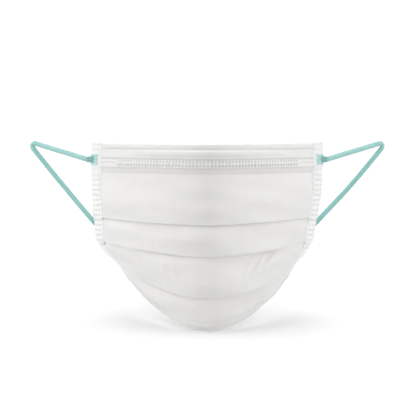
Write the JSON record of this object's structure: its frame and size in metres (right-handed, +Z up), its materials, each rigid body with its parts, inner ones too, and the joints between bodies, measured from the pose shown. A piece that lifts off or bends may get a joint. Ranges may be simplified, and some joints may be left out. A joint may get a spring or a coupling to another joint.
{
  "type": "surgical face mask",
  "caption": "Pleated nonwoven face mask in its worn shape, with a nose band, bound side edges, a chin hem and elastic ear loops.",
  "frame": {"origin": "middle of the opening that the wearer's face goes into, between the side edges", "axes": "+X to the right of someone who looks at the front of the mask, -Y the way the front faces, +Z up"},
  "size_m": [0.2266, 0.1108, 0.1118],
  "materials": {
    "nonwoven": "matt white spunbond polypropylene",
    "welded_edge": "white spunbond polypropylene, pressed smooth by the weld",
    "elastic": "matt teal knitted elastic",
    "wire": "tinned flat wire"
  },
  "bodies": {
    "root": {"pleated_panel": "nonwoven", "nose_band": "nonwoven", "nose_wire": "wire", "chin_band": "nonwoven", "side_binding_left": "welded_edge", "side_binding_right": "welded_edge", "upper_weld_left": "elastic", "upper_weld_right": "elastic", "lower_weld_left": "elastic", "lower_weld_right": "elastic", "ear_loop_left": "elastic", "ear_loop_right": "elastic"}
  },
  "joints": []
}
